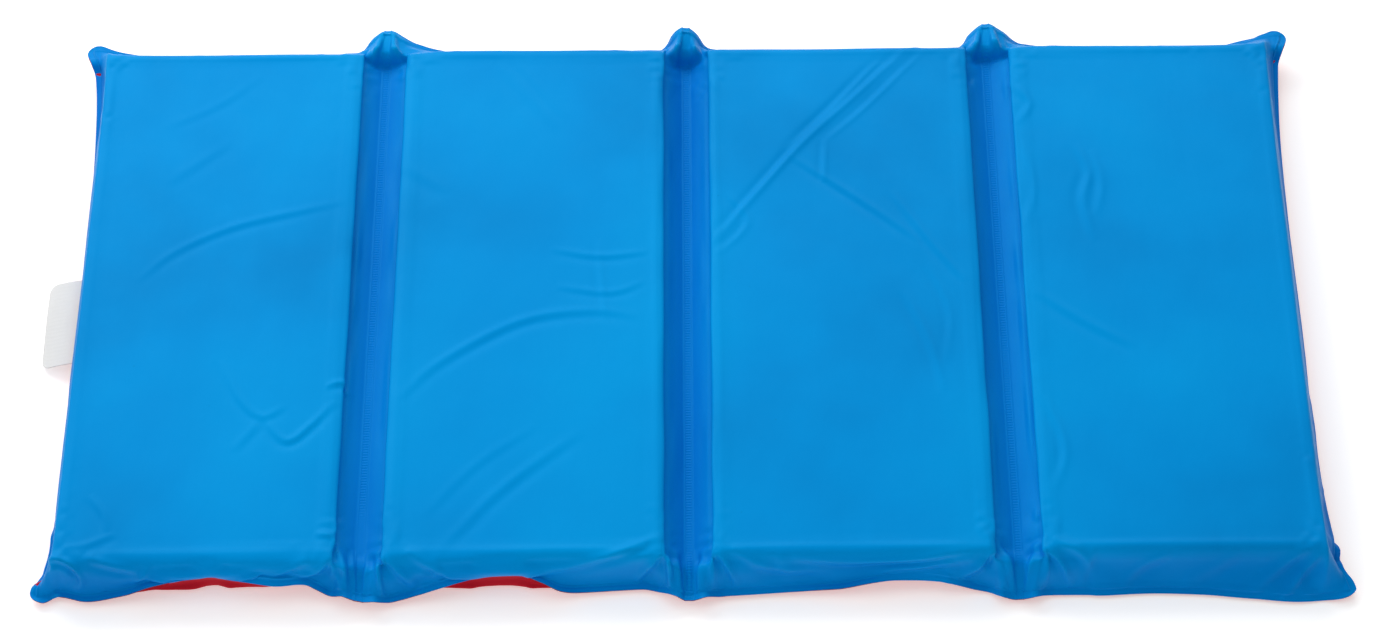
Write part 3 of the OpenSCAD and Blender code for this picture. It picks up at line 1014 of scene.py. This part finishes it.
class Nodes:
    """Short names for building a node material."""

    def __init__(self, name):
        self.material = bpy.data.materials.new(name)
        self.material.use_nodes = True
        self.tree = self.material.node_tree
        self.shader = self.tree.nodes["Principled BSDF"]
        self.place = self.node("TexCoord", {}).outputs["Object"]

    def link(self, a, b):
        self.tree.links.new(a, b)

    def node(self, kind, inputs, **settings):
        """A new node: an input is linked if it is given another node's output, or else set."""
        node = self.tree.nodes.new("ShaderNode" + kind)
        for name, value in settings.items():
            setattr(node, name, value)
        for name, value in inputs.items():
            self.fill(node.inputs[name], value)
        return node

    def fill(self, socket, value):
        if isinstance(value, bpy.types.NodeSocket):
            self.link(value, socket)
        else:
            socket.default_value = value

    def mapped(self, scale):
        return self.node("Mapping", {"Scale": scale, "Vector": self.place}).outputs["Vector"]

    def noise(self, scale, detail=3.0, vector=None, roughness=0.5):
        inputs = {"Scale": scale, "Detail": detail, "Roughness": roughness,
                  "Vector": vector or self.place}
        return self.node("TexNoise", inputs).outputs["Fac"]

    def cells(self, scale):
        inputs = {"Scale": scale, "Vector": self.place}
        return self.node("TexVoronoi", inputs, feature="F1").outputs["Distance"]

    def ramp(self, value, colours):
        node = self.node("ValToRGB", {"Fac": value})
        elements = node.color_ramp.elements
        while len(elements) < len(colours):
            elements.new(0.5)
        for element, (place, colour) in zip(elements, colours):
            element.position = place
            element.color = (*colour, 1)
        return node.outputs["Color"]

    def scaled(self, value, low, high):
        return self.node("MapRange", {"Value": value, "To Min": low, "To Max": high}).outputs["Result"]

    def mixed(self, factor, a, b, blend="MIX"):
        node = self.node("Mix", {"Factor": factor}, data_type="RGBA", blend_type=blend)
        sockets = [socket for socket in node.inputs if socket.type == "RGBA"]
        for socket, source in zip(sockets, (a, b)):
            self.fill(socket, (*source, 1) if isinstance(source, tuple) else source)
        return [socket for socket in node.outputs if socket.type == "RGBA"][0]

    def bump(self, height, strength, distance, onto=None):
        inputs = {"Strength": strength, "Distance": distance, "Height": height}
        if onto is not None:
            inputs["Normal"] = onto
        return self.node("Bump", inputs).outputs["Normal"]

    def set(self, name, value):
        self.fill(self.shader.inputs[name], value)


def vinyl(name, painted_shade, dark, main, light, sheen):
    """Satin calendered vinyl: slow shifts of colour, dulled patches, a fine pressed grain, and painted
    shade: a darker colour mixed in where the sheet lies low, in the valleys and down the walls.
    """
    n = Nodes(name)
    patches = n.noise(16.0, 5.0, roughness=0.6)
    colour = n.ramp(n.noise(3.5, 3.0), [(0.3, dark), (0.52, main), (0.75, light)])
    dull = n.ramp(patches, [(0.35, dark), (0.65, main)])
    colour = n.mixed(n.scaled(patches, 0.0, 0.35), colour, dull)
    # painted shade: the darker shade colour is mixed in where the hollow attribute says the sheet lies
    # low
    hollow = n.node("Attribute", {}, attribute_name="hollow").outputs["Fac"]
    colour = n.mixed(n.scaled(hollow, 0.0, 0.55), colour, painted_shade)
    specks = n.ramp(n.cells(19.0), [(0.0, (0.45, 0.45, 0.45)), (0.022, (1, 1, 1))])
    n.set("Base Color", n.mixed(0.35, colour, specks, "MULTIPLY"))
    n.set("Roughness", n.scaled(n.noise(38.0, 6.0, roughness=0.65), 0.36, 0.56))
    n.set("IOR", 1.45)
    n.set("Specular IOR Level", 0.20)
    n.set("Specular Tint", (*sheen, 1))
    grain = n.bump(n.cells(1500.0), 0.10, 0.0003)
    creep = n.bump(n.noise(55.0, 4.0, n.mapped((1.0, 0.45, 1.0))), 0.16, 0.0022, grain)
    n.set("Normal", n.bump(n.noise(620.0, 3.0), 0.10, 0.0005, creep))
    return n.material


def fabric(name, dark, light, threads):
    """A plain weave, from two crossed waves of thread."""
    n = Nodes(name)
    inputs = {"Scale": threads, "Distortion": 0.4, "Vector": n.place}
    waves = [n.node("TexWave", inputs, bands_direction=turn).outputs["Fac"] for turn in ("X", "Y")]
    weave = n.mixed(0.5, *waves)
    fuzz = n.noise(240.0, 4.0)
    cloth = n.ramp(weave, [(0.2, dark), (0.8, light)])
    n.set("Base Color", n.mixed(n.scaled(fuzz, 0.1, 0.6), cloth, light))
    n.set("Roughness", n.scaled(fuzz, 0.7, 0.95))
    n.set("Sheen Weight", 0.25)
    n.set("Normal", n.bump(weave, 0.35, 0.0003, n.bump(fuzz, 0.2, 0.0004)))
    return n.material


def foam(name, dark, light):
    """Cut open-cell foam."""
    n = Nodes(name)
    pores = n.cells(420.0)
    cut = n.ramp(pores, [(0.1, dark), (0.5, light)])
    n.set("Base Color", n.mixed(n.scaled(n.noise(9.0, 4.0), 0.0, 0.5), cut, dark))
    n.set("Roughness", n.scaled(pores, 0.98, 0.8))
    n.set("Normal", n.bump(pores, 0.7, 0.0015))
    return n.material


# the first colour of each vinyl is painted shade for the low places; the others are the vinyl's own tones
TOP_VINYL = vinyl(
    "top_vinyl_satin", painted_shade=(0.0, 0.105, 0.55), dark=(0.0, 0.21, 0.58), main=(0.0, 0.27, 0.70),
    light=(0.0, 0.32, 0.76), sheen=(0.0, 0.90, 0.90))
BOTTOM_VINYL = vinyl(
    "bottom_vinyl_satin", painted_shade=(0.38, 0.006, 0.015), dark=(0.43, 0.008, 0.02),
    main=(0.52, 0.011, 0.026), light=(0.58, 0.016, 0.034), sheen=(1.0, 0.12, 0.12))
FOAM = foam("cut_foam", (0.72, 0.69, 0.58), (0.87, 0.85, 0.76))
LABEL_CLOTH = fabric("label_weave", (0.66, 0.66, 0.65), (0.80, 0.80, 0.79), 330.0)

# ---------------------------------------------------------------- the draped mat

flat = pattern()
layers = [round_corners(start_shape(top), flat) for top in (True, False)]
layers = drape(*layers, round_corners(flat, flat))
SHEETS = (("top", Sheet(layers[0], 1, top_relief), TOP_VINYL),
          ("bottom", Sheet(layers[1], -1, bottom_relief), BOTTOM_VINYL))


def panel_lines(i):
    """Lines along a panel's piece, out to the sheet's edge at the mat's ends."""
    margin = (FLANGE_RUN, END_RUN, RIM_RUN)
    runs = [(PANEL_FLAT - 2 * RIM_KEEP, FACE_STEP)]
    if i == 1:
        return stops(*margin, *runs)
    if i == 4:
        runs += margin[::-1]
    return PANEL_STARTS[i - 1] + RIM_KEEP + stops(*runs)


def ride(piece, body, node):
    """Fixes a piece to a body, in place of a CAD node."""
    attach(piece, body)
    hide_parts(node)


for layer, sheet, material in SHEETS:
    for i in PANELS:
        piece = vinyl_piece(f"{layer}_cover_{i}", sheet, panel_lines(i), V_LINES, material)
        ride(piece, f"panel_{i}", f"{layer}_sheet_{i}")
    for k in FOLDS:
        weld, web = WELD_STARTS[k - 1], f"fold_web_{k}"
        lines = weld + stops((WELD_W, FLANGE_RUN[1]))
        piece = vinyl_piece(f"{layer}_weld_{k}", sheet, lines, V_WELD, material)
        ride(piece, web, f"{layer}_fold_strip_{k}")
        before = PANEL_STARTS[k - 1] + PANEL_FLAT - RIM_KEEP + stops(RIM_RUN, VALLEY_RUN)
        after = weld + WELD_W + stops(VALLEY_RUN, RIM_RUN)
        sides = (
            ("left", before, f"panel_{k}", web, RIMS[k][1] - 2, FOLD_X[k] - WELD_W / 2 - 1),
            ("right", after, web, f"panel_{k + 1}", FOLD_X[k] + WELD_W / 2 + 1, RIMS[k + 1][0] + 2),
        )
        for side, lines, body, next_body, start, end in sides:
            piece = vinyl_piece(f"{layer}_fold_{k}_{side}", sheet, lines, V_LINES, material)
            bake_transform(piece)

for i in PANELS:
    ride(foam_piece(i, FOAM), f"panel_{i}", f"foam_core_{i}")
ride(label_piece(SHEETS[0][1], LABEL_CLOTH), "panel_1", "label")

# ---------------------------------------------------------------- floor, light and camera

STUDIO = Vector(((RIMS[1][0] + RIMS[4][1]) / 2 * MM, 0, 0))


def floor_material():
    n = Nodes("pale_floor")
    n.set("Base Color", n.ramp(n.noise(0.8, 2.0), [(0.3, (0.93, 0.93, 0.93)), (0.7, (0.96, 0.96, 0.96))]))
    n.set("Roughness", n.scaled(n.noise(30.0, 3.0), 0.75, 0.9))
    n.set("Emission Color", (1, 1, 1, 1))
    n.set("Emission Strength", 0.34)
    return n.material


def floor():
    """A plain floor that sinks with the lowest corner of any panel, so that no fold goes through."""
    obj = flat_square("studio_floor", -9, 9, 9)
    obj.data.materials.append(floor_material())
    obj.location = STUDIO
    driver = obj.driver_add("location", 2).driver
    corners = [(i, a, b) for i in PANELS for a in (0, 1) for b in (0, 1)]
    for number, (i, a, b) in enumerate(corners):
        probe = new_object(f"probe_{i}_{a}{b}", None)
        probe.location = (RIMS[i][a] * MM, 0, b * TOP_Z * MM)
        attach(probe, f"panel_{i}")
        variable = driver.variables.new()
        variable.name = f"p{number}"
        variable.type = "TRANSFORMS"
        target = variable.targets[0]
        target.id = probe
        target.transform_type = "LOC_Z"
        target.transform_space = "WORLD_SPACE"
    names = ", ".join(variable.name for variable in driver.variables)
    driver.expression = f"min({names}) - 0.0005"


# name, place from the mat's middle, size, power
LIGHTS = [
    ("key_far_left", (-1.7, 2.3, 2.3), (2.2, 1.4), 56),
    ("key_far", (0.35, 2.5, 2.2), (1.8, 1.2), 29),
    ("fill_left", (-2.8, -0.4, 2.0), (1.6, 2.4), 12),
    ("front_fill", (-0.4, -2.6, 1.1), (2.6, 1.0), 10),
    ("overhead", (0.0, 0.5, 3.4), (2.4, 2.4), 14),
]


def studio():
    """A pale surround and soft lights that face the mat's middle."""
    world = bpy.data.worlds.new("studio")
    bpy.context.scene.world = world
    world.use_nodes = True
    background = world.node_tree.nodes["Background"]
    background.inputs["Color"].default_value = (0.97, 0.985, 1.0, 1)
    background.inputs["Strength"].default_value = 0.40
    for name, place, size, power in LIGHTS:
        data = bpy.data.lights.new(name, "AREA")
        data.shape = "RECTANGLE"
        data.size, data.size_y = size
        data.energy = power
        lamp = new_object(name, data)
        lamp.location = STUDIO + Vector(place)
        lamp.rotation_euler = (-Vector(place)).to_track_quat("-Z", "Y").to_euler()
    bpy.context.scene.view_settings.view_transform = "Standard"


CAMERA_DOWN, CAMERA_YAW, CAMERA_ROLL = (math.radians(angle) for angle in (56.94, 0.42, -0.92))
CAMERA_PLACE = Vector((0.0199, -1.854, 2.8401))     # metres, from the mat's middle
CAMERA_LENS = 86.68


def camera():
    """Above and in front of the mat, looking down at it."""
    flat_run = math.cos(CAMERA_DOWN)
    forward = Vector((-math.sin(CAMERA_YAW) * flat_run, math.cos(CAMERA_YAW) * flat_run,
                      -math.sin(CAMERA_DOWN)))
    right = Vector((math.cos(CAMERA_YAW), math.sin(CAMERA_YAW), 0))
    up = right.cross(forward)
    lean, level = math.sin(CAMERA_ROLL), math.cos(CAMERA_ROLL)
    right, up = right * level + up * lean, up * level - right * lean
    data = bpy.data.cameras.new("view")
    data.sensor_width = 36
    data.lens = CAMERA_LENS
    obj = new_object("view", data)
    turn = Matrix((right, up, -forward)).transposed().to_4x4()
    obj.matrix_world = Matrix.Translation(STUDIO + CAMERA_PLACE) @ turn
    bpy.context.scene.camera = obj


floor()
studio()
camera()
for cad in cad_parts.values():     # the CAD nodes are hidden, but none is left plain
    cad.data.materials.clear()
    cad.data.materials.append(FOAM if "foam" in cad.name else LABEL_CLOTH if "label" in cad.name
                              else TOP_VINYL if cad.name.startswith("top") else BOTTOM_VINYL)
